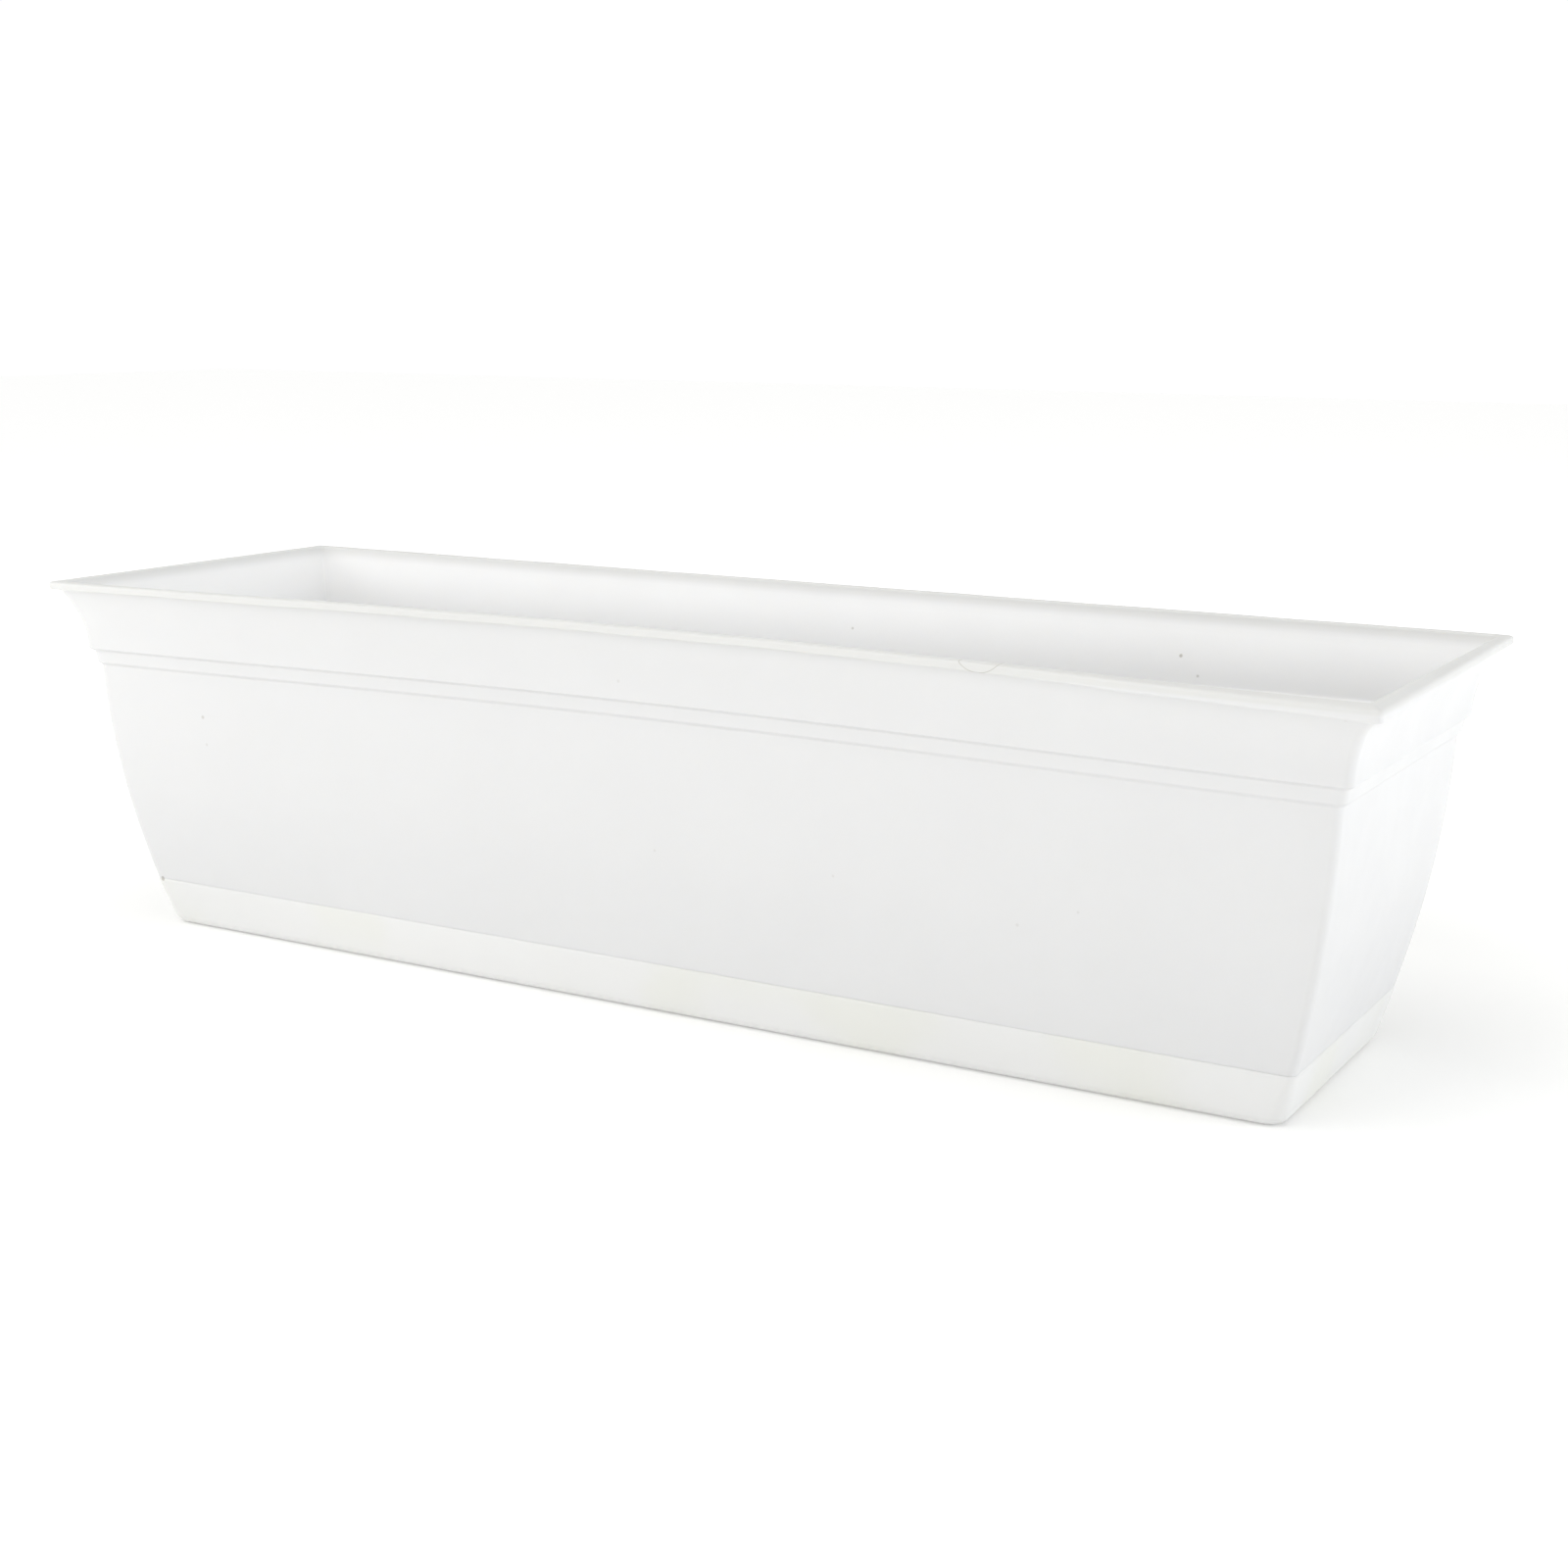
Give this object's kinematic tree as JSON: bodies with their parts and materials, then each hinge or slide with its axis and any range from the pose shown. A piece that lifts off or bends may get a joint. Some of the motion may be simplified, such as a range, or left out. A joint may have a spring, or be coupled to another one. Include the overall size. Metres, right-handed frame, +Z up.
{
  "type": "self watering planter",
  "caption": "Long tapered window-box planter with a flared rim on a shallow base tray, with lift-out platform, soil wells, fill tube and level float inside.",
  "frame": {"origin": "centre of the base, on the surface that the tray stands on", "axes": "+X along the length to the right, -Y towards the front, +Z up"},
  "size_m": [0.61, 0.184, 0.162],
  "materials": {
    "box_plastic": "moulded, cool white, soft satin",
    "tray_plastic": "moulded, warmer white, soft satin",
    "platform_plastic": "moulded, light grey",
    "tube_plastic": "moulded, light grey",
    "cap_plastic": "moulded, mid grey",
    "float_foam": "closed-cell foam",
    "rod_plastic": "smooth",
    "marker_plastic": "smooth red",
    "plug_rubber": "soft black rubber"
  },
  "bodies": {
    "tray": {"base_tray": "tray_plastic"},
    "box": {"planter_box": "box_plastic"},
    "platform": {"water_platform": "platform_plastic"},
    "well_left": {"soil_well_left": "platform_plastic"},
    "well_right": {"soil_well_right": "platform_plastic"},
    "tube": {"fill_tube": "tube_plastic"},
    "cap": {"fill_cap": "cap_plastic"},
    "float": {"float_body": "float_foam", "float_rod": "rod_plastic", "float_marker": "marker_plastic"},
    "plug_1": {"drain_plug_1": "plug_rubber"},
    "plug_2": {"drain_plug_2": "plug_rubber"},
    "plug_3": {"drain_plug_3": "plug_rubber"},
    "plug_4": {"drain_plug_4": "plug_rubber"}
  },
  "joints": [
    {"name": "box_lift", "type": "slide", "parent": "tray", "child": "box", "axis": [0, 0, 1], "range_m": [0, 0.06]},
    {"name": "platform_lift", "type": "slide", "parent": "box", "child": "platform", "axis": [0, 0, 1], "range_m": [0, 0.13]},
    {"name": "well_left_lift", "type": "slide", "parent": "platform", "child": "well_left", "axis": [0, 0, 1], "range_m": [0, 0.06]},
    {"name": "well_right_lift", "type": "slide", "parent": "platform", "child": "well_right", "axis": [0, 0, 1], "range_m": [0, 0.06]},
    {"name": "tube_lift", "type": "slide", "parent": "platform", "child": "tube", "axis": [0, 0, 1], "range_m": [0, 0.09]},
    {"name": "cap_lift", "type": "slide", "parent": "tube", "child": "cap", "axis": [0, 0, 1], "range_m": [0, 0.03]},
    {"name": "float_rise", "type": "slide", "parent": "tube", "child": "float", "axis": [0, 0, 1], "range_m": [0, 0.026]},
    {"name": "plug_1_pull", "type": "slide", "parent": "box", "child": "plug_1", "axis": [0, 0, 1], "range_m": [0, 0.012]},
    {"name": "plug_2_pull", "type": "slide", "parent": "box", "child": "plug_2", "axis": [0, 0, 1], "range_m": [0, 0.012]},
    {"name": "plug_3_pull", "type": "slide", "parent": "box", "child": "plug_3", "axis": [0, 0, 1], "range_m": [0, 0.012]},
    {"name": "plug_4_pull", "type": "slide", "parent": "box", "child": "plug_4", "axis": [0, 0, 1], "range_m": [0, 0.012]}
  ]
}
